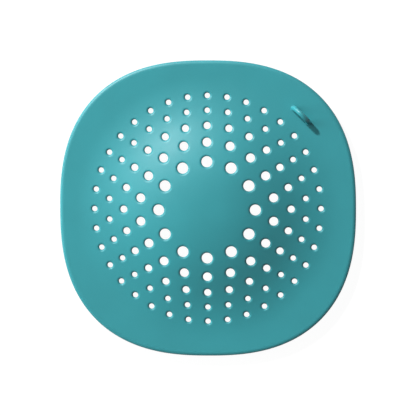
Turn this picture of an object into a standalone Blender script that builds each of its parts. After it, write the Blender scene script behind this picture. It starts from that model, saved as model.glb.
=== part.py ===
"""A soft sink strainer mat with a peel loop and four suction cups.

Metres, +Z up. The origin lies on the sink floor, under the middle of the mat. +X is to the
right and +Y to the back, seen from above with the loop in the back right corner.
"""

import math

import bmesh
import bpy
from mathutils import Matrix, Vector

COLLECTION_NAME = "sink_strainer_mat"

# Sizes of the mat, one soft sheet with a rounded square outline
MAT_WIDTH = 0.145
MAT_THICKNESS = 0.0020
RIM_ROUNDING = 0.0007
RIM_ROUNDING_MOST_SHARE = 0.45
OUTLINE_POWER = 2.5

# Sizes of the round dome that rises in the middle of the mat
FLANGE_WIDTH = 0.0077
DOME_HEIGHT = 0.0105

# Where the slope of the dome starts, reaches its steepest and starts to ease off again
CROWN_START_SHARE = 0.06
FLANK_START_SHARE = 0.53
FLANK_END_SHARE = 0.64

# The drain holes: five rings, each with a hole straight to the back
OUTER_RING_INSET = 0.0094
RING_RADIUS_SHARES = (0.425, 0.594, 0.738, 0.871, 1.0)
RING_HOLE_COUNTS = (12, 18, 24, 30, 36)
RING_HOLE_DIAMETERS = (0.0055, 0.0045, 0.0036, 0.0028, 0.0028)
RING_HOLE_SIDES = (12, 10, 10, 8, 8)
HOLE_TWIST_SHARE = 0.25

# Sizes of the peel loop, a round cord bent to an arch that stands across the corner
LOOP_SPAN = 0.0123
LOOP_HEIGHT = 0.0090
LOOP_THICKNESS = 0.0025
LOOP_LEG = 0.0013
LOOP_CORNER_INSET = 0.0132
LOOP_LEAN = math.radians(6)

# Sizes of a suction cup, which snaps into a socket under each corner
CUP_DIAMETER = 0.0170
CUP_HEIGHT = 0.0022
CUP_WALL = 0.0009
CUP_LIP_WIDTH = 0.0008
CUP_LIP_THICKNESS = 0.0005
CUP_CORNER_INSET = 0.0117
CUP_TRAVEL = 0.0008
NECK_DIAMETER = 0.0060
BEAD_OVERHANG = 0.0009
BEAD_THICKNESS = 0.0006
BEAD_CHAMFER = 0.0002

# Sizes of the socket that holds the neck and the bead of a cup
SOCKET_LIP = 0.0007
SOCKET_WALL = 0.0020
SOCKET_ROOF = 0.0009

# Clearance between pieces that touch, and how far a cutter runs past what it cuts
FIT_GAP = 0.0003
CUT_OVERRUN = 0.0010

# How finely the curved faces are divided
MAT_SEGMENTS = 60
DOME_RINGS = 9
RIM_ROUNDING_SEGMENTS = 2
LOOP_ARCH_STEPS = 16
LOOP_FOOT_STEPS = 3
LOOP_BEVEL_RESOLUTION = 3
CUP_SEGMENTS = 24
CUP_CURVE_STEPS = 4
SHARP_EDGE_ANGLE = math.radians(45)
SEAM = 0.00001

# Heights above the sink floor, worked up from the lip of a cup
SOCKET_DEPTH = SOCKET_LIP + FIT_GAP + BEAD_THICKNESS + CUP_TRAVEL + FIT_GAP
PAD_HEIGHT = SOCKET_DEPTH - (MAT_THICKNESS - SOCKET_ROOF)
PAD_BOTTOM = CUP_HEIGHT + CUP_TRAVEL + FIT_GAP
FLANGE_BOTTOM = PAD_BOTTOM + PAD_HEIGHT
FLANGE_TOP = FLANGE_BOTTOM + MAT_THICKNESS
SOCKET_LIP_TOP = PAD_BOTTOM + SOCKET_LIP
SOCKET_TOP = PAD_BOTTOM + SOCKET_DEPTH
BEAD_BOTTOM = SOCKET_LIP_TOP + FIT_GAP
BEAD_TOP = BEAD_BOTTOM + BEAD_THICKNESS

# Radii worked out from the sizes above
BEAD_RADIUS = NECK_DIAMETER / 2 + BEAD_OVERHANG
DOME_RADIUS = MAT_WIDTH / 2 - FLANGE_WIDTH
OUTER_RING_RADIUS = DOME_RADIUS - OUTER_RING_INSET
CHAMBER_RADIUS = BEAD_RADIUS + FIT_GAP
MOUTH_RADIUS = NECK_DIAMETER / 2 + FIT_GAP
PAD_RADIUS = CHAMBER_RADIUS + SOCKET_WALL

# Directions from the middle of the mat to its corners
CORNERS = {
    "front_left": math.radians(225),
    "front_right": math.radians(315),
    "back_left": math.radians(135),
    "back_right": math.radians(45),
}
LOOP_CORNER = CORNERS["back_right"]

# Linear colours, roughness and metallic value of each soft rubber
RUBBERS = {
    "mat_rubber": ((0.052, 0.305, 0.350, 1.0), 0.42, 0.0),
    "loop_rubber": ((0.052, 0.305, 0.350, 1.0), 0.40, 0.0),
    "cup_rubber": ((0.090, 0.360, 0.400, 1.0), 0.25, 0.0),
}


def outline_radius(angle):
    """Distance from the middle of the mat to its rim in one direction."""
    across = abs(math.cos(angle)) ** OUTLINE_POWER
    along = abs(math.sin(angle)) ** OUTLINE_POWER
    return MAT_WIDTH / 2 / (across + along) ** (1 / OUTLINE_POWER)


def fallen_share(share):
    """How much of the dome's height is lost at a share of the dome's radius, from 0 to 1."""
    crown = FLANK_START_SHARE - CROWN_START_SHARE
    flank = FLANK_END_SHARE - FLANK_START_SHARE
    fillet = 1 - FLANK_END_SHARE
    whole = crown / 2 + flank + fillet / 2
    on_crown = min(max(share - CROWN_START_SHARE, 0), crown)
    on_flank = min(max(share - FLANK_START_SHARE, 0), flank)
    on_fillet = min(max(share - FLANK_END_SHARE, 0), fillet)
    fallen = on_crown**2 / (2 * crown) + on_flank + on_fillet - on_fillet**2 / (2 * fillet)
    return fallen / whole


def top_height(radius):
    """Height of the mat's top face at a distance from its middle."""
    return FLANGE_TOP + DOME_HEIGHT * (1 - fallen_share(min(radius / DOME_RADIUS, 1)))


def corner_point(corner, inset, height):
    """A point on the diagonal of a corner, a distance in from the rim."""
    distance = outline_radius(corner) - inset
    return Vector((distance * math.cos(corner), distance * math.sin(corner), height))


def make_collection(name):
    collection = bpy.data.collections.new(name)
    bpy.context.scene.collection.children.link(collection)
    return collection


def make_rubber(name):
    """A plain rubber with the colour, roughness and metallic value listed for it."""
    colour, roughness, metallic = RUBBERS[name]
    material = bpy.data.materials.new(name)
    material.use_nodes = True
    shader = material.node_tree.nodes["Principled BSDF"]
    shader.inputs["Base Color"].default_value = colour
    shader.inputs["Roughness"].default_value = roughness
    shader.inputs["Metallic"].default_value = metallic
    material.diffuse_color = colour
    return material


def add_object(name, data, collection, location=(0, 0, 0)):
    thing = bpy.data.objects.new(name, data)
    collection.objects.link(thing)
    thing.location = location
    return thing


def hide_cutter(cutter):
    """A cutter shapes another piece and is no piece itself."""
    cutter.hide_render = True
    cutter.display_type = "WIRE"


def mesh_from(work, name):
    """Turns a bmesh into a smooth shaded mesh that keeps its sharp edges."""
    mesh = bpy.data.meshes.new(name)
    work.to_mesh(mesh)
    work.free()
    mesh.shade_smooth()
    mesh.set_sharp_from_angle(angle=SHARP_EDGE_ANGLE)
    return mesh


def add_boolean(piece, name, operation, operand):
    """Joins or cuts a piece with another object or with a whole collection."""
    modifier = piece.modifiers.new(name, "BOOLEAN")
    modifier.operation = operation
    modifier.solver = "EXACT"
    if isinstance(operand, bpy.types.Collection):
        modifier.operand_type = "COLLECTION"
        modifier.collection = operand
    else:
        modifier.object = operand


def turned(name, profile, collection, segments, location):
    """Turns a profile of radii and heights about the vertical axis through its origin."""
    mesh = bpy.data.meshes.new(name)
    points = [(radius, 0, height) for radius, height in profile]
    edges = [(index, index + 1) for index in range(len(points) - 1)]
    mesh.from_pydata(points, edges, [])
    thing = add_object(name, mesh, collection, location)
    screw = thing.modifiers.new("turn", "SCREW")
    screw.axis = "Z"
    screw.angle = math.tau
    screw.steps = segments
    screw.render_steps = segments
    screw.use_merge_vertices = True
    screw.merge_threshold = SEAM
    screw.use_smooth_shade = True
    return thing


def mat_top_surface():
    """The open top face of the mat: round rings over the dome, then the rounded square rim."""
    work = bmesh.new()
    middle = work.verts.new((0, 0, top_height(0)))
    angles = [math.tau * index / MAT_SEGMENTS for index in range(MAT_SEGMENTS)]
    rings = []
    for step in range(1, DOME_RINGS + 1):
        radius = DOME_RADIUS * step / DOME_RINGS
        height = top_height(radius)
        ring = [(radius * math.cos(a), radius * math.sin(a), height) for a in angles]
        rings.append([work.verts.new(point) for point in ring])
    rim = []
    for angle in angles:
        radius = outline_radius(angle)
        rim.append(work.verts.new((radius * math.cos(angle), radius * math.sin(angle), FLANGE_TOP)))
    rings.append(rim)
    for index in range(MAT_SEGMENTS):
        following = (index + 1) % MAT_SEGMENTS
        work.faces.new((middle, rings[0][index], rings[0][following]))
        for inner, outer in zip(rings, rings[1:]):
            work.faces.new((inner[index], outer[index], outer[following], inner[following]))
    return mesh_from(work, "strainer_mat")


def drain_hole_mesh():
    """Upright cylinders for every drain hole, ring by ring.

    Each is twisted by a share of one of its sides, so that none of its upright edges meets
    the radial edges of the mat.
    """
    work = bmesh.new()
    bottom = FLANGE_BOTTOM - CUT_OVERRUN
    top = FLANGE_TOP + DOME_HEIGHT + CUT_OVERRUN
    rings = zip(RING_RADIUS_SHARES, RING_HOLE_COUNTS, RING_HOLE_DIAMETERS, RING_HOLE_SIDES)
    for share, count, diameter, sides in rings:
        twist = Matrix.Rotation(math.tau / sides * HOLE_TWIST_SHARE, 4, "Z")
        for index in range(count):
            turn = Matrix.Rotation(math.tau * index / count, 4, "Z")
            place = Vector((0, OUTER_RING_RADIUS * share, (bottom + top) / 2))
            bmesh.ops.create_cone(
                work,
                cap_ends=True,
                segments=sides,
                radius1=diameter / 2,
                radius2=diameter / 2,
                depth=top - bottom,
                matrix=turn @ Matrix.Translation(place) @ twist,
            )
    return mesh_from(work, "drain_holes")


def socket_pad_mesh():
    """Round pads under the flange, which give the sockets their depth."""
    work = bmesh.new()
    top = FLANGE_TOP - SOCKET_ROOF
    for corner in CORNERS.values():
        place = corner_point(corner, CUP_CORNER_INSET, (PAD_BOTTOM + top) / 2)
        bmesh.ops.create_cone(
            work,
            cap_ends=True,
            segments=CUP_SEGMENTS,
            radius1=PAD_RADIUS,
            radius2=PAD_RADIUS,
            depth=top - PAD_BOTTOM,
            matrix=Matrix.Translation(place),
        )
    return mesh_from(work, "socket_pads")


def make_mat(parts, cutters):
    """The perforated mat, its socket pads and the sockets in them."""
    mat = add_object("strainer_mat", mat_top_surface(), parts)
    mat.data.materials.append(make_rubber("mat_rubber"))

    sheet = mat.modifiers.new("sheet", "SOLIDIFY")
    sheet.thickness = MAT_THICKNESS
    sheet.offset = -1
    sheet.use_even_offset = True
    rim = mat.modifiers.new("rim", "BEVEL")
    rim.width = min(RIM_ROUNDING, MAT_THICKNESS * RIM_ROUNDING_MOST_SHARE)
    rim.segments = RIM_ROUNDING_SEGMENTS
    rim.limit_method = "ANGLE"
    rim.angle_limit = SHARP_EDGE_ANGLE

    pads = add_object("socket_pads", socket_pad_mesh(), cutters)
    hide_cutter(pads)
    add_boolean(mat, "pads", "UNION", pads)

    socket_cutters = bpy.data.collections.new("socket_cutters")
    cutters.children.link(socket_cutters)
    socket_profile = [
        (0, SOCKET_TOP),
        (CHAMBER_RADIUS, SOCKET_TOP),
        (CHAMBER_RADIUS, SOCKET_LIP_TOP),
        (MOUTH_RADIUS, SOCKET_LIP_TOP),
        (MOUTH_RADIUS, PAD_BOTTOM - CUT_OVERRUN),
        (0, PAD_BOTTOM - CUT_OVERRUN),
    ]
    for corner_name, corner in CORNERS.items():
        place = corner_point(corner, CUP_CORNER_INSET, 0)
        name = f"socket_{corner_name}"
        hide_cutter(turned(name, socket_profile, socket_cutters, CUP_SEGMENTS, place))
    add_boolean(mat, "sockets", "DIFFERENCE", socket_cutters)

    holes = add_object("drain_holes", drain_hole_mesh(), cutters)
    hide_cutter(holes)
    add_boolean(mat, "drain_holes", "DIFFERENCE", holes)
    return mat


def loop_stations():
    """Centre line of the loop from foot to foot, with the radius of the cord at each point.

    The loop's own X runs along its span and its own Z up, from the axis that it bends about.
    Each foot ends in half a ball about that axis, so it turns clear of the mat.
    """
    radius = LOOP_THICKNESS / 2
    half_span = LOOP_SPAN / 2 - radius
    arch_rise = LOOP_HEIGHT - FIT_GAP - LOOP_THICKNESS - LOOP_LEG
    foot = []
    for step in range(1, LOOP_FOOT_STEPS + 1):
        angle = math.pi / 2 * step / (LOOP_FOOT_STEPS + 1)
        foot.append((-radius * math.cos(angle), radius * math.sin(angle)))
    left = [(-half_span, height, cord) for height, cord in foot]
    left.append((-half_span, 0, radius))
    arch = []
    for step in range(LOOP_ARCH_STEPS + 1):
        angle = math.pi * (1 - step / LOOP_ARCH_STEPS)
        height = LOOP_LEG + arch_rise * math.sin(angle)
        arch.append((half_span * math.cos(angle), height, radius))
    right = [(-across, height, cord) for across, height, cord in reversed(left)]
    return left + arch + right


def make_loop(parts):
    """The peel loop, on an empty that lies on the axis it bends about."""
    axis_height = FLANGE_TOP + FIT_GAP + LOOP_THICKNESS / 2
    root = add_object("loop_axis", None, parts)
    root.location = corner_point(LOOP_CORNER, LOOP_CORNER_INSET, axis_height)
    root.rotation_euler = (0, 0, LOOP_CORNER - math.pi / 2)

    curve = bpy.data.curves.new("peel_loop", "CURVE")
    curve.dimensions = "3D"
    curve.bevel_depth = 1
    curve.bevel_resolution = LOOP_BEVEL_RESOLUTION
    curve.use_fill_caps = True
    stations = loop_stations()
    line = curve.splines.new("POLY")
    line.points.add(len(stations) - 1)
    for point, (across, height, cord_radius) in zip(line.points, stations):
        point.co = (across, 0, height, 1)
        point.radius = cord_radius
    line.use_smooth = True
    curve.materials.append(make_rubber("loop_rubber"))
    loop = add_object("peel_loop", curve, parts)
    loop.parent = root
    loop.rotation_euler = (-LOOP_LEAN, 0, 0)
    return loop


def cup_profile():
    """Half of a cup's section: bead and neck, down the skirt to the lip, up inside the hollow."""
    cup_radius = CUP_DIAMETER / 2
    neck_radius = NECK_DIAMETER / 2
    profile = [
        (0, BEAD_TOP),
        (BEAD_RADIUS - BEAD_CHAMFER, BEAD_TOP),
        (BEAD_RADIUS, BEAD_TOP - BEAD_CHAMFER),
        (BEAD_RADIUS, BEAD_BOTTOM),
        (neck_radius, BEAD_BOTTOM),
    ]
    for step in range(CUP_CURVE_STEPS + 1):
        angle = math.pi / 2 * step / CUP_CURVE_STEPS
        radius = neck_radius + (cup_radius - neck_radius) * math.sin(angle)
        rise = (CUP_HEIGHT - CUP_LIP_THICKNESS) * math.cos(angle) ** 2
        profile.append((radius, CUP_LIP_THICKNESS + rise))
    profile.append((cup_radius, 0))
    hollow_radius = cup_radius - CUP_LIP_WIDTH
    for step in range(CUP_CURVE_STEPS + 1):
        angle = math.pi / 2 * step / CUP_CURVE_STEPS
        radius = hollow_radius * math.cos(angle)
        profile.append((radius, (CUP_HEIGHT - CUP_WALL) * math.sin(angle) ** 2))
    profile[-1] = (0, CUP_HEIGHT - CUP_WALL)
    return profile


def make_cups(parts):
    """Four suction cups of one shape, each standing on the sink floor under its socket."""
    rubber = make_rubber("cup_rubber")
    for corner_name, corner in CORNERS.items():
        place = corner_point(corner, CUP_CORNER_INSET, 0)
        cup = turned(f"suction_cup_{corner_name}", cup_profile(), parts, CUP_SEGMENTS, place)
        cup.data.materials.append(rubber)


def main():
    for thing in list(bpy.data.objects):
        bpy.data.objects.remove(thing)
    parts = make_collection(COLLECTION_NAME)
    cutters = make_collection("cutters")
    make_mat(parts, cutters)
    make_loop(parts)
    make_cups(parts)


main()
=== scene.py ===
# %% [markdown]
# A sink strainer mat is one soft rubber moulding that lies over the outlet of a sink. It has
# a low dome full of holes, a flat flange round it, a small loop in one corner to peel it up
# by, and a suction cup under each corner. Its solid model is packed as a fixed frame with
# joints. This lesson dresses that frame: every piece gets a fine mesh and a rubber finish
# and stays exactly where the frame says. The frame's box is kept first, so that the top of
# the dressed dome can be held against it.

# %% Load the frame and keep its box
import math

import bmesh
import bpy
from mathutils import Matrix, Vector


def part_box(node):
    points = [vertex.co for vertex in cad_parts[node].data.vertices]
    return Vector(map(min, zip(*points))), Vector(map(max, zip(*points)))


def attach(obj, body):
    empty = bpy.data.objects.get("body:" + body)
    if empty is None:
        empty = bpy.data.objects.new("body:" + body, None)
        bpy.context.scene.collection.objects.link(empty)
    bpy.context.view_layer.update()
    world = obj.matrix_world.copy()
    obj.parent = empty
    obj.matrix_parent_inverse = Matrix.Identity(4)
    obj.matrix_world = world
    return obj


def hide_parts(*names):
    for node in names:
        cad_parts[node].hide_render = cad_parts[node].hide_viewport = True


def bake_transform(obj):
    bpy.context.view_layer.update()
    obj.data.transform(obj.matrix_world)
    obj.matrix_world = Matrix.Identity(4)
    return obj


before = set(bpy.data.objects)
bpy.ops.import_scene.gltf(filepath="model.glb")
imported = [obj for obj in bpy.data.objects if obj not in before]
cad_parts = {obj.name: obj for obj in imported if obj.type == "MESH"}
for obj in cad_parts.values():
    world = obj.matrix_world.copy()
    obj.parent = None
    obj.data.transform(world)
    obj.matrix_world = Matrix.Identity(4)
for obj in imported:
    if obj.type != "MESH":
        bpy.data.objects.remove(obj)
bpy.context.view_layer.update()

# %% [markdown]
# Seen from above the mat is a square with very round corners and sides that bow a little.
# A rounded rectangle would have straight sides and look stiff beside it. A superellipse
# bows all the way round and needs only one number, its power, so the rim is that curve.
# The mat is laid out on 360 spokes, one for each degree, because the numbers of holes in
# its rings, 12, 18, 24, 30 and 36, all divide 360 evenly.

# %% The rim as a curve on 360 spokes
MM = 0.001
SPOKES = 360
MAT_WIDTH = 145 * MM
OUTLINE_POWER = 2.5


def rim_radius(spoke):
    """Distance from the middle of the mat to its rim along one spoke."""
    angle = math.radians(spoke)
    across = abs(math.cos(angle)) ** OUTLINE_POWER
    along = abs(math.sin(angle)) ** OUTLINE_POWER
    return MAT_WIDTH / 2 / (across + along) ** (1 / OUTLINE_POWER)


def on_spoke(radius, spoke):
    """The point at a radius on a spoke, seen from above."""
    angle = math.radians(spoke)
    return Vector((radius * math.cos(angle), radius * math.sin(angle)))


CORNER_SPOKES = {"back_right": 45, "back_left": 135, "front_left": 225, "front_right": 315}
print("rim in mm: side", round(rim_radius(0) / MM, 2), "corner", round(rim_radius(45) / MM, 2))

# %% [markdown]
# The dome isn't a piece of a ball. Its crown bends down gently, a short flank keeps one
# steady slope, and a long hollow fillet eases it into the flange. A curve drawn by hand could be
# turned into such a dome. Here a formula adds up the slope from the middle outwards, which
# gives the same line without a bump, and every point of the mesh can ask it for its height.
# The underside lies one sheet thickness lower, measured square to the slope as in a mould.

# %% Heights of the sheet
FLANGE_TOP = 6.9 * MM
SHEET = 2.0 * MM
DOME_HEIGHT = 10.5 * MM
DOME_RADIUS = MAT_WIDTH / 2 - 7.7 * MM
CROWN_START, FLANK_START, FLANK_END = 0.06, 0.53, 0.64
CROWN, FLANK, FILLET = FLANK_START - CROWN_START, FLANK_END - FLANK_START, 1 - FLANK_END
WHOLE_FALL = CROWN / 2 + FLANK + FILLET / 2


def within(share, start, length):
    """How far a share of the radius has gone into a stretch that starts at start."""
    return min(max(share - start, 0), length)


def top_height(radius):
    """Height of the upper face at a radius."""
    share = radius / DOME_RADIUS
    crown = within(share, CROWN_START, CROWN)
    flank = within(share, FLANK_START, FLANK)
    fillet = within(share, FLANK_END, FILLET)
    fallen = crown**2 / (2 * CROWN) + flank + fillet - fillet**2 / (2 * FILLET)
    return FLANGE_TOP + DOME_HEIGHT * (1 - fallen / WHOLE_FALL)


def slope(radius):
    """How steeply the sheet falls at a radius, as rise over run."""
    share = radius / DOME_RADIUS
    crown = within(share, CROWN_START, CROWN) / CROWN
    fillet = within(share, FLANK_END, FILLET) / FILLET
    return DOME_HEIGHT / DOME_RADIUS * (crown - fillet) / WHOLE_FALL


def under_height(radius):
    """Height of the lower face at a radius."""
    return top_height(radius) - SHEET * math.hypot(1, slope(radius))


frame_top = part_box("strainer_mat")[1].z
steepest = math.atan(slope(FLANK_START * DOME_RADIUS))
print("dome top in mm:", round(top_height(0) / MM, 2), "of", round(frame_top / MM, 2))
print("steepest slope in degrees:", round(math.degrees(steepest), 1))

# %% [markdown]
# A moulding has no sharp edges: the tool that makes it is rounded, and soft rubber would
# tear at a sharp one. All the rounded edges of this mat come from one short list of steps,
# a quarter of an ellipse given as distance from the edge and depth below the face. The
# other tools are a row, which is a closed line of points, and a band, which fills the strip
# between two rows with faces. Rows and bands can follow any outline, which a modifier such
# as a bevel can't promise where hundreds of curved edges meet a curved sheet.

# %% Rows, bands and rounded edges
def row(work, points):
    """Adds a vertex for each point of a closed row."""
    return [work.verts.new(point) for point in points]


def band(work, first, second):
    """Fills the strip between two rows. The first may have more points than the second."""
    ratio = len(first) // len(second)
    for index in range(len(second)):
        near = [first[(index * ratio + step) % len(first)] for step in range(ratio + 1)]
        work.faces.new(near + [second[(index + 1) % len(second)], second[index]])


def bands(work, rows):
    """Fills every strip of a list of rows."""
    for first, second in zip(rows, rows[1:]):
        band(work, first, second)


def fan(work, edge, point):
    """Closes a row with faces that meet in one point."""
    middle = work.verts.new(point)
    for first, second in zip(edge, edge[1:] + edge[:1]):
        work.faces.new((first, second, middle))


def rounding(width, depth, steps):
    """Steps from an upright wall, at distance 0 and full depth, to the face, at distance width."""
    angles = [math.pi / 2 * (1 - step / steps) for step in range(steps + 1)]
    return [(width * (1 - math.sin(a)), depth * (1 - math.cos(a))) for a in angles]


def with_height(point, height):
    """A point seen from above, lifted to a height."""
    return (point.x, point.y, height)


print("a rounding of 1 by 1:", [(round(w, 2), round(d, 2)) for w, d in rounding(1, 1, 4)])

# %% [markdown]
# The middle of the dome is plain rubber inside the innermost ring of holes. On the real mat
# it is the spot that covers the outlet's cross bars. 360 spokes would crowd together there,
# so the rows thin out to 120 and then 40 points before the last fan closes them. The same
# rows are made once for the upper face and once for the lower one.

# %% The plain middle of the dome
mat_work = bmesh.new()
MIDDLE_RADIUS = 18.5 * MM
MIDDLE_RADII = (MIDDLE_RADIUS, 15.5 * MM, 11 * MM, 7 * MM, 3.5 * MM)
MIDDLE_COUNTS = (360, 360, 120, 120, 40)
for height_at in (top_height, under_height):
    rows = []
    for radius, count in zip(MIDDLE_RADII, MIDDLE_COUNTS):
        around = [on_spoke(radius, s) for s in range(0, SPOKES, SPOKES // count)]
        rows.append(row(mat_work, [with_height(point, height_at(radius)) for point in around]))
    bands(mat_work, rows)
    fan(mat_work, rows[-1], (0, 0, height_at(0)))
print("points in the middle:", len(mat_work.verts))

# %% [markdown]
# 120 drain holes let the water through. They could be cut with booleans, but those leave
# long thin faces and a knife edge round each hole, and the real holes have softly rounded
# mouths that catch the light. So the dome is laid out like paving instead: one cell for
# each hole, whose inner rows are round and whose outer edge matches its neighbours point
# for point. A point of a row lies in the same direction from the hole as its partner on
# the edge of the cell, and rows in between ease from the circle to the edge.

# %% A paved cell round a hole
def cell_edge(place, start, width, sides):
    """The closed edge of a cell. place(spoke, share) has share 0 inside and 1 outside."""
    inner = [place(start + step, 0) for step in range(width)]
    right = [place(start + width, step / sides) for step in range(sides)]
    outer = [place(start + width - step, 1) for step in range(width)]
    left = [place(start, 1 - step / sides) for step in range(sides)]
    return inner + right + outer + left


def circle_towards(edge, centre, radius):
    """Points on a circle, each in the direction of its partner on the edge."""
    return [centre + (point - centre).normalized() * radius for point in edge]


def eased(first, second, share):
    """Points part of the way from one row to another."""
    return [a.lerp(b, share) for a, b in zip(first, second)]


def lifted(points, height_at, offset=0):
    """Points seen from above, laid on a face of the sheet and moved up by an offset."""
    return [with_height(point, height_at(point.length) + offset) for point in points]


MOUTH_ROUNDING = rounding(1.05 * MM, 0.85 * MM, 6)
LOWER_ROUNDING = rounding(0.2 * MM, 0.2 * MM, 2)
SHEET_FACES = ((top_height, MOUTH_ROUNDING, -1), (under_height, LOWER_ROUNDING, 1))
FLAT_MARGIN = 0.25 * MM
CELL_SHARES = (0, 0.5, 1)


def drain_cell(place, start, width, sides, centre, radius):
    """One hole with its rounded mouths and the sheet round it, above and below."""
    edge = cell_edge(place, start, width, sides)
    faces = []
    for height_at, steps, sign in SHEET_FACES:
        rows = []
        for out, drop in steps:
            circle = circle_towards(edge, centre, radius + out)
            rows.append(lifted(circle, height_at, sign * drop))
        margin = circle_towards(edge, centre, radius + steps[-1][0] + FLAT_MARGIN)
        for share in CELL_SHARES:
            rows.append(lifted(eased(margin, edge, share), height_at))
        faces.append(rows)
    upper, lower = faces
    bands(mat_work, [row(mat_work, points) for points in lower[::-1] + upper])


print("rounding of a mouth in mm:", round(MOUTH_ROUNDING[-1][0] / MM, 2))

# %% [markdown]
# The rings of holes were measured on the mat: 12 wide holes inside, 36 narrow ones outside,
# and one hole of each ring straight to the back. The wide holes in the middle pass most of
# the water, and the narrow ones outside stop hair. A loop over the rings places them all,
# with a border between two rings about halfway between their holes.

# %% Five rings of drain holes
OUTER_RING = DOME_RADIUS - 9.4 * MM
RING_SHARES = (0.425, 0.594, 0.738, 0.871, 1.0)
RING_COUNTS = (12, 18, 24, 30, 36)
HOLE_DIAMETERS = (5.37 * MM, 4.35 * MM, 3.48 * MM, 2.66 * MM, 2.66 * MM)
CELL_SIDES = (8, 7, 7, 6, 6)
RING_BORDERS = (MIDDLE_RADIUS, 28.45 * MM, 37.1 * MM, 44.8 * MM, 51.8 * MM, 58.0 * MM)
BACK_SPOKE = 90
for ring, count in enumerate(RING_COUNTS):
    width = SPOKES // count
    inside, outside = RING_BORDERS[ring], RING_BORDERS[ring + 1]

    def ring_place(spoke, share):
        """A point of this ring, from its inner border to its outer one."""
        return on_spoke(inside + (outside - inside) * share, spoke)

    for index in range(count):
        spoke = BACK_SPOKE - width * index
        start = spoke - width // 2
        centre = on_spoke(OUTER_RING * RING_SHARES[ring], spoke)
        drain_cell(ring_place, start, width, CELL_SIDES[ring], centre, HOLE_DIAMETERS[ring] / 2)
    print("ring", ring + 1, "holes", count, "points so far", len(mat_work.verts))

# %% [markdown]
# Outside the holes the dome eases into the flat flange, and the flange ends in a soft rim.
# The upper edge of the rim is rounded wide and shallow, the lower edge is small and tight,
# and a thin upright band is left between them where the two halves of the mould meet. The
# rows go from the last ring of holes outwards over the edge and a little way back under it.

# %% The upper face of the flange and the rim
RIM_WIDTH, RIM_DEPTH, RIM_LOWER = 1.8 * MM, 1.1 * MM, 0.6 * MM
RIM_STEPS, RIM_LOWER_STEPS = 9, 4
FILLET_SHARES = (0, 0.25, 0.5, 0.75, 1)
FLAT_SHARES = (0.35, 0.7, 0.93)
UNDER_INSET = 3.0 * MM
FLANGE_BOTTOM = FLANGE_TOP - SHEET
RIM_NORMAL_STEP = 0.01


def rim_point(spoke, inset):
    """The point a distance inside the rim, measured square to it."""
    here = on_spoke(rim_radius(spoke), spoke)
    ahead = on_spoke(rim_radius(spoke + RIM_NORMAL_STEP), spoke + RIM_NORMAL_STEP)
    run = (ahead - here).normalized()
    return here - Vector((run.y, -run.x)) * inset


spokes = range(SPOKES)
flange_rows = []
for share in FILLET_SHARES:
    radius = RING_BORDERS[-1] + (DOME_RADIUS - RING_BORDERS[-1]) * share
    flange_rows.append([with_height(on_spoke(radius, s), top_height(radius)) for s in spokes])
for share in FLAT_SHARES:
    flat = [on_spoke(DOME_RADIUS, s).lerp(rim_point(s, RIM_WIDTH), share) for s in spokes]
    flange_rows.append([with_height(point, FLANGE_TOP) for point in flat])
for inset, drop in reversed(rounding(RIM_WIDTH, RIM_DEPTH, RIM_STEPS)):
    flange_rows.append([with_height(rim_point(s, inset), FLANGE_TOP - drop) for s in spokes])
for inset, rise in rounding(RIM_LOWER, RIM_LOWER, RIM_LOWER_STEPS):
    flange_rows.append([with_height(rim_point(s, inset), FLANGE_BOTTOM + rise) for s in spokes])
under_start = [rim_point(s, RIM_LOWER + FLAT_MARGIN) for s in spokes]
under_edge = [on_spoke(rim_radius(s) - UNDER_INSET, s) for s in spokes]
for points in (under_start, under_edge):
    flange_rows.append([with_height(point, FLANGE_BOTTOM) for point in points])
bands(mat_work, [row(mat_work, points) for points in flange_rows])
print("rows over the flange and the rim:", len(flange_rows))

# %% [markdown]
# Under each corner a round pad gives the thin sheet enough depth for a socket, which holds
# a suction cup by its bead. The view from above hides the pads, but a look from the side or
# from below shows them. They could be separate turned pieces pushed into the sheet, with a
# hard crease round each. A cell like that of a drain hole lets the sheet flow into the pad
# with a hollow fillet, so that pad and sheet are one skin, as moulded.

# %% Pads and sockets under the flange
CORNER_RADIUS = rim_radius(CORNER_SPOKES["back_right"])
CUP_RADIUS_FROM_MIDDLE = CORNER_RADIUS - 11.7 * MM
PAD_RADIUS, PAD_BOTTOM, PAD_FILLET, PAD_EDGE = 6.2 * MM, 3.3 * MM, 0.8 * MM, 0.3 * MM
MOUTH_RADIUS, MOUTH_EDGE = 3.3 * MM, 0.2 * MM
CHAMBER_RADIUS, CHAMBER_BOTTOM, CHAMBER_TOP = 4.2 * MM, 4.0 * MM, 6.0 * MM
PAD_HALF_WIDTH, PAD_SIDES = 9, 10
PAD_SHARES = (0, 0.5, 0.9, 1)
PAD_FILLET_STEPS, PAD_EDGE_STEPS = 5, 3


def under_place(spoke, share):
    """A point under the flange, from the last ring of holes to the edge of the underside."""
    outside = rim_radius(spoke) - UNDER_INSET
    return on_spoke(RING_BORDERS[-1] + (outside - RING_BORDERS[-1]) * share, spoke)


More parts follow.
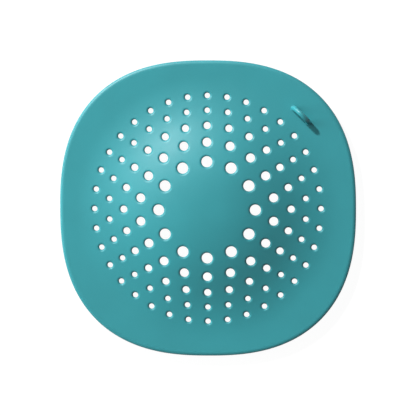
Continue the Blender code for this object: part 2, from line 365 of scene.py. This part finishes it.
def pad_cell(spoke):
    """The pad of one corner, with the socket for its cup."""
    edge = cell_edge(under_place, spoke - PAD_HALF_WIDTH, 2 * PAD_HALF_WIDTH, PAD_SIDES)
    centre = on_spoke(CUP_RADIUS_FROM_MIDDLE, spoke)
    foot = circle_towards(edge, centre, PAD_RADIUS + PAD_FILLET)
    rows = [lifted(eased(edge, foot, share), under_height) for share in PAD_SHARES]
    for out, drop in reversed(rounding(PAD_FILLET, PAD_FILLET, PAD_FILLET_STEPS)[:-1]):
        rows.append(lifted(circle_towards(edge, centre, PAD_RADIUS + out), under_height, -drop))
    pad_edge = rounding(PAD_EDGE, PAD_EDGE, PAD_EDGE_STEPS)
    mouth_edge = rounding(MOUTH_EDGE, MOUTH_EDGE, PAD_EDGE_STEPS)
    profile = [(PAD_RADIUS - inset, PAD_BOTTOM + rise) for inset, rise in pad_edge]
    profile += [(MOUTH_RADIUS + out, PAD_BOTTOM + rise) for out, rise in reversed(mouth_edge)]
    profile.append((MOUTH_RADIUS, CHAMBER_BOTTOM - MOUTH_EDGE))
    profile.append((MOUTH_RADIUS + MOUTH_EDGE, CHAMBER_BOTTOM))
    profile += [(CHAMBER_RADIUS, CHAMBER_BOTTOM), (CHAMBER_RADIUS, CHAMBER_TOP)]
    profile.append((CHAMBER_RADIUS / 2, CHAMBER_TOP))
    for radius, height in profile:
        circle = circle_towards(edge, centre, radius)
        rows.append([with_height(point, height) for point in circle])
    made = [row(mat_work, points) for points in rows]
    bands(mat_work, made)
    fan(mat_work, made[-1], with_height(centre, CHAMBER_TOP))


print("width of a pad in mm:", round(2 * PAD_RADIUS / MM, 1), "spokes:", 2 * PAD_HALF_WIDTH)

# %% [markdown]
# Between the pads the underside of the flange is plain. One ring of long faces could close
# it, but the underside still bends where the dome ends, and long faces would cut across that
# bend. So a grid of short ones runs from the last ring of holes to where the rows of the rim
# end, and the pads take its place at the four corners.

# %% The underside of the flange
padded_spokes = set()
for corner_spoke in CORNER_SPOKES.values():
    pad_cell(corner_spoke)
    padded_spokes.update(range(corner_spoke - PAD_HALF_WIDTH, corner_spoke + PAD_HALF_WIDTH))
grid = []
for step in range(PAD_SIDES + 1):
    points = [under_place(s, step / PAD_SIDES) for s in spokes]
    grid.append(row(mat_work, lifted(points, under_height)))
for inner, outer in zip(grid, grid[1:]):
    for s in sorted(set(spokes) - padded_spokes):
        following = (s + 1) % SPOKES
        mat_work.faces.new((inner[s], inner[following], outer[following], outer[s]))
print("pads made:", len(CORNER_SPOKES))
print("cup centres in mm from the middle:", round(CUP_RADIUS_FROM_MIDDLE / MM, 2))

# %% [markdown]
# So far the cells only lie edge to edge. Welding points that share a place turns them into
# one skin. A closed skin has exactly two faces at each edge, and that is worth testing,
# because a gap would leave the mat open. Loose points that no face uses are left by the
# parts of the grid that the pads take up, and they go too.

# %% Weld the mat into one skin
WELD = 0.001 * MM
SMOOTH_WALL = math.radians(60)


def finished_piece(name, work):
    """Welds a working mesh, turns its faces outwards and gives it an object of its own."""
    bmesh.ops.remove_doubles(work, verts=work.verts, dist=WELD)
    unused = [vert for vert in work.verts if not vert.link_faces]
    bmesh.ops.delete(work, geom=unused, context="VERTS")
    bmesh.ops.recalc_face_normals(work, faces=work.faces)
    open_edges = sum(len(edge.link_faces) != 2 for edge in work.edges)
    mesh = bpy.data.meshes.new(name)
    work.to_mesh(mesh)
    work.free()
    mesh.polygons.foreach_set("use_smooth", [True] * len(mesh.polygons))
    piece = bpy.data.objects.new(name, mesh)
    bpy.context.scene.collection.objects.link(piece)
    triangles = sum(len(face.vertices) - 2 for face in mesh.polygons)
    print(name, "points", len(mesh.vertices), "triangles", triangles, "open edges", open_edges)
    return piece


mat_skin = finished_piece("strainer_mat_skin", mat_work)
mat_skin.data.set_sharp_from_angle(angle=SMOOTH_WALL)

# %% [markdown]
# The peel loop is a small arch of round cord that stands across one corner. A finger hooks
# under it to break the hold of the cups. A torus cut in half could stand there, but its
# feet would end in flat discs. Here a circle is swept along the arch and down two short
# legs, and it grows wider at the feet in a small hollow fillet, as the pads do, because the
# real loop is moulded in one piece with the mat. The arch leans outwards a little, and the
# lean is a shear, so that the feet stay level with the flange.

# %% The sweep of the peel loop
LOOP_INSET = 13.2 * MM
CORD_RADIUS = 1.25 * MM
ARCH_RADIUS = 4.9 * MM
ARCH_CENTRE = 9.75 * MM
ROOT_FILLET = 0.25 * MM
ROOT_SUNK = 0.05 * MM
LOOP_LEAN = math.tan(math.radians(6))
CORD_POINTS, ARCH_STEPS, ROOT_STEPS = 24, 36, 6


def leg_stations(side):
    """Rings up one leg: distance along the span, height, direction of the edge, radius."""
    across = side * ARCH_RADIUS
    stations = [(across, FLANGE_TOP - ROOT_SUNK, (side, 0), CORD_RADIUS + ROOT_FILLET)]
    for out, rise in reversed(rounding(ROOT_FILLET, ROOT_FILLET, ROOT_STEPS)):
        stations.append((across, FLANGE_TOP + rise, (side, 0), CORD_RADIUS + out))
    return stations


arch = []
for step in range(ARCH_STEPS + 1):
    angle = math.pi * (1 - step / ARCH_STEPS)
    edge_direction = (math.cos(angle), math.sin(angle))
    across = ARCH_RADIUS * math.cos(angle)
    height = ARCH_CENTRE + ARCH_RADIUS * math.sin(angle)
    arch.append((across, height, edge_direction, CORD_RADIUS))
loop_stations = leg_stations(-1) + arch + leg_stations(1)[::-1]
print("rings along the loop:", len(loop_stations))

# %% [markdown]
# The arch now gets its skin. A curve object with a round bevel would give a cord too, but
# its rings stay square to the path, and these have to lean by a shear. So each ring is
# worked out point by point: along the span, upwards, and outwards with the lean. The bands
# between the rings are the cord, and a flat face closes each foot just below the top of the
# flange, out of sight.

# %% The peel loop as a mesh
corner_angle = math.radians(CORNER_SPOKES["back_right"])
OUTWARD = Vector((math.cos(corner_angle), math.sin(corner_angle), 0))
SPAN = Vector((math.sin(corner_angle), -math.cos(corner_angle), 0))
UP = Vector((0, 0, 1))
loop_foot = OUTWARD * (CORNER_RADIUS - LOOP_INSET)
loop_work = bmesh.new()
loop_rows = []
for across, height, (edge_across, edge_up), radius in loop_stations:
    points = []
    for index in range(CORD_POINTS):
        turn = math.tau * index / CORD_POINTS
        sideways = across + radius * math.cos(turn) * edge_across
        level = height + radius * math.cos(turn) * edge_up
        outwards = radius * math.sin(turn) + (level - FLANGE_TOP) * LOOP_LEAN
        points.append(loop_foot + SPAN * sideways + OUTWARD * outwards + UP * level)
    loop_rows.append(row(loop_work, points))
bands(loop_work, loop_rows)
loop_work.faces.new(loop_rows[0])
loop_work.faces.new(loop_rows[-1])
loop_skin = finished_piece("peel_loop_skin", loop_work)
print("loop top in mm:", round(max(v.co.z for v in loop_skin.data.vertices) / MM, 2))

# %% [markdown]
# A suction cup is a shallow bell of softer rubber. Pressed down, its skirt flattens, drives
# the air out and holds the mat to the sink. It is a turned shape, so half of its section
# says all: a bead that snaps into the socket, a short neck, a skirt that thins towards its
# lip, and the hollow. Short arcs round every corner of the section.

# %% Half of a cup's section
CUP_RADIUS, NECK_RADIUS, BEAD_RADIUS = 8.5 * MM, 3.0 * MM, 3.9 * MM
BEAD_BOTTOM, BEAD_TOP = 4.3 * MM, 4.9 * MM
SKIRT_TOP, LIP_THICKNESS, LIP_WIDTH = 2.2 * MM, 0.5 * MM, 0.8 * MM
HOLLOW_TOP = 1.3 * MM
SKIRT_STEPS, SKIRT_FIRST_STEP = 14, 2
BEAD_CORNER, NECK_CORNER, LIP_CORNER = 0.25 * MM, 0.4 * MM, 0.12 * MM


def arc(radius, height, size, start, end, steps=4):
    """Points on an arc about a centre in the section, with its angles in degrees."""
    angles = [math.radians(start + (end - start) * step / steps) for step in range(steps + 1)]
    return [(radius + size * math.cos(a), height + size * math.sin(a)) for a in angles]


cup_section = [(BEAD_RADIUS / 2, BEAD_TOP)]
cup_section += arc(BEAD_RADIUS - BEAD_CORNER, BEAD_TOP - BEAD_CORNER, BEAD_CORNER, 90, 0)
cup_section += arc(BEAD_RADIUS - BEAD_CORNER, BEAD_BOTTOM + BEAD_CORNER, BEAD_CORNER, 0, -90)
cup_section += arc(NECK_RADIUS + BEAD_CORNER, BEAD_BOTTOM - BEAD_CORNER, BEAD_CORNER, 90, 180)
cup_section += arc(NECK_RADIUS + NECK_CORNER, SKIRT_TOP + NECK_CORNER, NECK_CORNER, 180, 260)
for step in range(SKIRT_FIRST_STEP, SKIRT_STEPS + 1):
    angle = math.pi / 2 * step / SKIRT_STEPS
    radius = NECK_RADIUS + (CUP_RADIUS - NECK_RADIUS) * math.sin(angle)
    height = LIP_THICKNESS + (SKIRT_TOP - LIP_THICKNESS) * math.cos(angle) ** 2
    cup_section.append((radius, height))
cup_section += arc(CUP_RADIUS - LIP_CORNER, LIP_CORNER, LIP_CORNER, 0, -90)
hollow_edge = CUP_RADIUS - LIP_WIDTH
cup_section += arc(hollow_edge + LIP_CORNER, LIP_CORNER, LIP_CORNER, 270, 180)
for step in range(SKIRT_FIRST_STEP, SKIRT_STEPS):
    angle = math.pi / 2 * step / SKIRT_STEPS
    cup_section.append((hollow_edge * math.cos(angle), HOLLOW_TOP * math.sin(angle) ** 2))
print("points in the section:", len(cup_section))

# %% [markdown]
# The four cups of a real mat come from one mould and are pressed into their sockets. A screw
# modifier could turn the section, but it turns about the middle of its object and leaves the
# ends of the section open. Here each point of the section becomes a row of points round the
# centre of its own cup, and a fan closes the bead above and the hollow below.

# %% Four cups turned from the section
CUP_POINTS = 72
cup_skins = {}
for corner, spoke in CORNER_SPOKES.items():
    centre = on_spoke(CUP_RADIUS_FROM_MIDDLE, spoke)
    cup_work = bmesh.new()
    cup_rows = []
    for radius, height in cup_section:
        turned = [centre + on_spoke(radius, 360 * step / CUP_POINTS) for step in range(CUP_POINTS)]
        cup_rows.append(row(cup_work, [with_height(point, height) for point in turned]))
    bands(cup_work, cup_rows)
    fan(cup_work, cup_rows[0], with_height(centre, BEAD_TOP))
    fan(cup_work, cup_rows[-1], with_height(centre, HOLLOW_TOP))
    cup_skins[corner] = finished_piece(f"suction_cup_{corner}_skin", cup_work)

# %% [markdown]
# A rubber is never quite even, and a shader gets its unevenness from noise. The same few
# nodes come back for every finish: a noise, a change of its range, and a mix of two colours.
# They could be dragged together by hand for each rubber. As helpers they are written once,
# and each rubber then reads like a recipe. The mix node has sockets of the same name for
# numbers and for colours, so its colour sockets are picked by their place.

# %% Noise, range and mix
NOISE_LOW, NOISE_HIGH = 0.3, 0.7
COLOUR_A, COLOUR_B, MIXED_COLOUR = 6, 7, 2


def noise(nodes, links, place, scale, detail):
    """A noise texture in the piece's own coordinates. Scale counts features in a metre."""
    texture = nodes.new("ShaderNodeTexNoise")
    texture.inputs["Scale"].default_value = scale
    texture.inputs["Detail"].default_value = detail
    links.new(place.outputs["Object"], texture.inputs["Vector"])
    return texture.outputs["Fac"]


def spread(nodes, links, value, low, high):
    """Maps a noise, which stays near one half, to a range."""
    ranger = nodes.new("ShaderNodeMapRange")
    ranger.inputs["From Min"].default_value = NOISE_LOW
    ranger.inputs["From Max"].default_value = NOISE_HIGH
    ranger.inputs["To Min"].default_value = low
    ranger.inputs["To Max"].default_value = high
    links.new(value, ranger.inputs["Value"])
    return ranger.outputs["Result"]


def mixed(nodes, links, share, first, second):
    """Mixes two colours by a share. Either may be a colour or another node's output."""
    mixer = nodes.new("ShaderNodeMix")
    mixer.data_type = "RGBA"
    links.new(share, mixer.inputs["Factor"])
    for socket, colour in ((mixer.inputs[COLOUR_A], first), (mixer.inputs[COLOUR_B], second)):
        if isinstance(colour, tuple):
            socket.default_value = (*colour, 1)
        else:
            links.new(colour, socket)
    return mixer.outputs[MIXED_COLOUR]


print("noise is stretched from", NOISE_LOW, "to", NOISE_HIGH)

# %% [markdown]
# The mat is a teal thermoplastic rubber. Looked at closely it isn't one flat colour: the
# pigment lies a little unevenly in broad clouds, with a faint fleck at the size of the
# moulded grain. The grain itself is a matt texture from the mould, so fine that it only
# softens the gloss, and it is worn smoother in some places than in others. A photo texture
# could show that, but noise in the shader has no seams and fits every piece. The broad
# noise mixes two shades, the fine noise flecks them and drives the bump, and a third one
# varies the roughness.

# %% A rubber made of noise
CLOUD_SCALE, CLOUD_DETAIL = 34, 3
WEAR_SCALE, WEAR_DETAIL = 120, 5
GRAIN_DETAIL = 4
MOST_FLECK = 0.35


def moulded_rubber(name, dark, light, fleck, smoothest, roughest, grain_depth, grain_scale):
    """A satin rubber with clouded pigment, a fine fleck, a moulded grain and uneven gloss."""
    material = bpy.data.materials.new(name)
    material.use_nodes = True
    nodes, links = material.node_tree.nodes, material.node_tree.links
    rubber = nodes["Principled BSDF"]
    place = nodes.new("ShaderNodeTexCoord")
    clouds = spread(nodes, links, noise(nodes, links, place, CLOUD_SCALE, CLOUD_DETAIL), 0, 1)
    grain = noise(nodes, links, place, grain_scale, GRAIN_DETAIL)
    pigment = mixed(nodes, links, clouds, dark, light)
    flecks = spread(nodes, links, grain, 0, MOST_FLECK)
    links.new(mixed(nodes, links, flecks, pigment, fleck), rubber.inputs["Base Color"])
    wear = noise(nodes, links, place, WEAR_SCALE, WEAR_DETAIL)
    links.new(spread(nodes, links, wear, smoothest, roughest), rubber.inputs["Roughness"])
    bump = nodes.new("ShaderNodeBump")
    bump.inputs["Strength"].default_value = 1
    bump.inputs["Distance"].default_value = grain_depth
    links.new(grain, bump.inputs["Height"])
    links.new(bump.outputs["Normal"], rubber.inputs["Normal"])
    return material


print("size of a cloud in mm:", round(1 / CLOUD_SCALE / MM, 1))

# %% [markdown]
# Three rubbers come from that recipe. The loop belongs to the same shot of rubber as the
# mat, and its thin cord polishes sooner where fingers hook it, so it is a shade smoother.
# The cups are softer, lighter and glossier, because a cup only holds if its lip is smooth.

# %% The three rubbers
TEAL = {
    "dark": (0.022, 0.220, 0.247),
    "light": (0.026, 0.249, 0.280),
    "fleck": (0.029, 0.270, 0.304),
}
mat_rubber = moulded_rubber(
    "mat_rubber_satin",
    **TEAL,
    smoothest=0.42,
    roughest=0.50,
    grain_depth=0.012 * MM,
    grain_scale=2600,
)
loop_rubber = moulded_rubber(
    "loop_rubber_satin",
    **TEAL,
    smoothest=0.37,
    roughest=0.45,
    grain_depth=0.008 * MM,
    grain_scale=2600,
)
cup_rubber = moulded_rubber(
    "cup_rubber_smooth",
    dark=(0.042, 0.261, 0.293),
    light=(0.052, 0.291, 0.326),
    fleck=(0.060, 0.311, 0.346),
    smoothest=0.20,
    roughest=0.30,
    grain_depth=0.003 * MM,
    grain_scale=1800,
)
print("rubbers:", mat_rubber.name, loop_rubber.name, cup_rubber.name)

# %% [markdown]
# Each skin now takes the place of its solid in the frame, whose solid is hidden. The mat
# rides whole on its body. The real loop bends at its roots when it is pulled, and the lip of
# a real cup is pressed up and its skirt flattens when the mat is pushed down. Here the loop
# and the cups are only baked in place where the frame puts them at rest.

# %% Put each skin in place of its solid
mat_skin.data.materials.append(mat_rubber)
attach(mat_skin, "mat")
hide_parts("strainer_mat")

loop_skin.data.materials.append(loop_rubber)
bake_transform(loop_skin)
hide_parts("peel_loop")

for corner, cup_skin in cup_skins.items():
    cup_skin.data.materials.append(cup_rubber)
    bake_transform(cup_skin)
    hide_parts(f"suction_cup_{corner}")
print("skins in place:", 2 + len(cup_skins))

# %% [markdown]
# The picture looks almost straight down at the mat through a long lens, which keeps the
# square square. The camera leans a few degrees to the back right, as the walls of the
# holes show. Its three axes are written out one by one, because the usual track-to aim is
# unsteady for a camera that looks straight down.

# %% The camera
LENS = 265.4
SENSOR_WIDTH = 36
CAMERA_DISTANCE = 1.5
CAMERA_LEAN = math.radians(5.3)
CAMERA_SIDE = Vector((0.48, 0.88)).normalized()
CAMERA_ROLL = math.radians(-0.19)
aim = Vector((0.15 * MM, 0.36 * MM, FLANGE_TOP))
sideways = math.sin(CAMERA_LEAN)
back = Vector((CAMERA_SIDE.x * sideways, CAMERA_SIDE.y * sideways, math.cos(CAMERA_LEAN)))
right = Vector((0, 1, 0)).cross(back).normalized()
upward = back.cross(right)
axes = Matrix((right, upward, back)).transposed() @ Matrix.Rotation(CAMERA_ROLL, 3, "Z")
camera_data = bpy.data.cameras.new("overhead_camera")
camera_data.lens = LENS
camera_data.sensor_width = SENSOR_WIDTH
camera = bpy.data.objects.new("overhead_camera", camera_data)
camera.matrix_world = Matrix.Translation(aim + back * CAMERA_DISTANCE) @ axes.to_4x4()
bpy.context.scene.collection.objects.link(camera)
bpy.context.scene.camera = camera
print("camera height in mm:", round(camera.matrix_world.translation.z / MM, 1))

# %% [markdown]
# The background is white. Lamps strong enough to make a pale table white would bleach the
# mat, and a table that glows would light it from below. Blender can tell what kind of ray it
# follows, so the background may shine only for rays that see it directly: those from the
# camera, from gloss and through clear things. The first helper joins these kinds, and the
# second makes a node with its values set.

# %% Rays that see the background
SEEING_RAYS = ("Is Camera Ray", "Is Glossy Ray", "Is Transmission Ray")


def seen_directly(nodes, links):
    """1 for rays from the camera, from gloss and through clear things, and 0 for the rest."""
    path = nodes.new("ShaderNodeLightPath")
    total = path.outputs[SEEING_RAYS[0]]
    for kind in SEEING_RAYS[1:]:
        adder = nodes.new("ShaderNodeMath")
        adder.operation = "MAXIMUM"
        links.new(total, adder.inputs[0])
        links.new(path.outputs[kind], adder.inputs[1])
        total = adder.outputs[0]
    return total


def shader(nodes, kind, **values):
    """A shader node with its values set."""
    node = nodes.new(kind)
    for name, value in values.items():
        node.inputs[name].default_value = value
    return node


print("rays that see the background:", SEEING_RAYS)

# %% [markdown]
# The mat lies on a plain table. A pale diffuse floor alone would come out grey where the
# light is weaker. So to the rays that see it directly the table glows nearly white, with a
# little diffuse on top, which the light lifts to full white and the shadow of the mat leaves
# slightly grey. For all other rays it is plain pale diffuse. From below it is clear, so that
# the cups can be looked at from there.

# %% The white table
FLOOR_HALF = 1.5
FLOOR_GLOW = 0.97
FLOOR_TINT = (0.1, 0.1, 0.1, 1)
FLOOR_PALE = (0.8, 0.8, 0.8, 1)
WHITE = (1, 1, 1, 1)
floor_mesh = bpy.data.meshes.new("white_table")
corners = [(-FLOOR_HALF, -FLOOR_HALF, 0), (FLOOR_HALF, -FLOOR_HALF, 0)]
corners += [(FLOOR_HALF, FLOOR_HALF, 0), (-FLOOR_HALF, FLOOR_HALF, 0)]
floor_mesh.from_pydata(corners, [], [(0, 1, 2, 3)])
floor = bpy.data.objects.new("white_table", floor_mesh)
bpy.context.scene.collection.objects.link(floor)
table_white = bpy.data.materials.new("table_white")
table_white.use_nodes = True
nodes, links = table_white.node_tree.nodes, table_white.node_tree.links
nodes.clear()
glow = shader(nodes, "ShaderNodeEmission", Color=WHITE, Strength=FLOOR_GLOW)
tint = shader(nodes, "ShaderNodeBsdfDiffuse", Color=FLOOR_TINT)
pale = shader(nodes, "ShaderNodeBsdfDiffuse", Color=FLOOR_PALE)
clear = shader(nodes, "ShaderNodeBsdfTransparent")
seen = nodes.new("ShaderNodeAddShader")
by_ray = nodes.new("ShaderNodeMixShader")
by_side = nodes.new("ShaderNodeMixShader")
side = nodes.new("ShaderNodeNewGeometry")
surface = nodes.new("ShaderNodeOutputMaterial")
links.new(glow.outputs[0], seen.inputs[0])
links.new(tint.outputs[0], seen.inputs[1])
links.new(seen_directly(nodes, links), by_ray.inputs[0])
links.new(pale.outputs[0], by_ray.inputs[1])
links.new(seen.outputs[0], by_ray.inputs[2])
links.new(side.outputs["Backfacing"], by_side.inputs[0])
links.new(by_ray.outputs[0], by_side.inputs[1])
links.new(clear.outputs[0], by_side.inputs[2])
links.new(by_side.outputs[0], surface.inputs["Surface"])
floor_mesh.materials.append(table_white)
print("half width of the table in mm:", FLOOR_HALF / MM)

# %% [markdown]
# Beyond the table lies the world, and every glossy face mirrors it. A bright world is a
# common way to light a scene, but its light comes from all sides and would wash out the
# shadows that show how the dome and the loop stand up. So the world is white to the same
# rays as the table, and gives no light of its own.

# %% The world
world = bpy.data.worlds.new("studio")
bpy.context.scene.world = world
world.use_nodes = True
nodes, links = world.node_tree.nodes, world.node_tree.links
nodes.clear()
white = shader(nodes, "ShaderNodeBackground", Color=WHITE)
output = nodes.new("ShaderNodeOutputWorld")
links.new(seen_directly(nodes, links), white.inputs["Strength"])
links.new(white.outputs[0], output.inputs["Surface"])
print("world:", world.name)

# %% [markdown]
# The light comes from the upper left of the picture. A compact key lamp gives the flank its
# bright patch and the loop its crisp shadow. A window lamp, low and very wide, rakes over the
# dome from the same side. It brightens the flank that faces it, leaves the far one dark and
# fills the loop's shadow evenly, because it reaches round both sides of the thin cord. A
# smaller lamp low on the left lifts that side of the dome, and a weak one higher up there
# lifts the crown. The two low lamps are hidden from glossy rays. Otherwise the flange would
# mirror them to a view from the far side and look bleached there, as wet rubber does. Each
# lamp is placed by its bearing and its angle from straight up, and its strength is given as
# the light that it puts on the flat flange.

# %% The lamps
LOW_FROM_ABOVE = 60


def lamp(name, bearing, from_above, distance, width, height, share):
    """An area lamp aimed at the mat. Bearing is counted from +X, anticlockwise from above."""
    light = bpy.data.lights.new(name, "AREA")
    light.shape = "RECTANGLE"
    light.size = width
    light.size_y = height
    zenith = math.radians(from_above)
    light.energy = share * math.pi * math.pi * distance**2 / math.cos(zenith)
    thing = bpy.data.objects.new(name, light)
    level = on_spoke(math.sin(zenith), bearing)
    towards = Vector((level.x, level.y, math.cos(zenith)))
    thing.location = towards * distance
    thing.rotation_mode = "QUATERNION"
    thing.rotation_quaternion = towards.to_track_quat("Z", "Y")
    thing.visible_glossy = from_above < LOW_FROM_ABOVE
    bpy.context.scene.collection.objects.link(thing)
    print(name, "power", round(light.energy, 2))


lamp("key_lamp", bearing=126, from_above=50, distance=2.2, width=0.12, height=0.12, share=0.75)
lamp("window_lamp", bearing=150, from_above=76, distance=2.4, width=3.0, height=1.1, share=0.29)
lamp("left_lamp", bearing=178, from_above=74, distance=2.4, width=1.2, height=0.7, share=0.12)
lamp("crown_lamp", bearing=165, from_above=42, distance=2.2, width=0.9, height=0.9, share=0.055)
bpy.context.scene.view_settings.view_transform = "Standard"
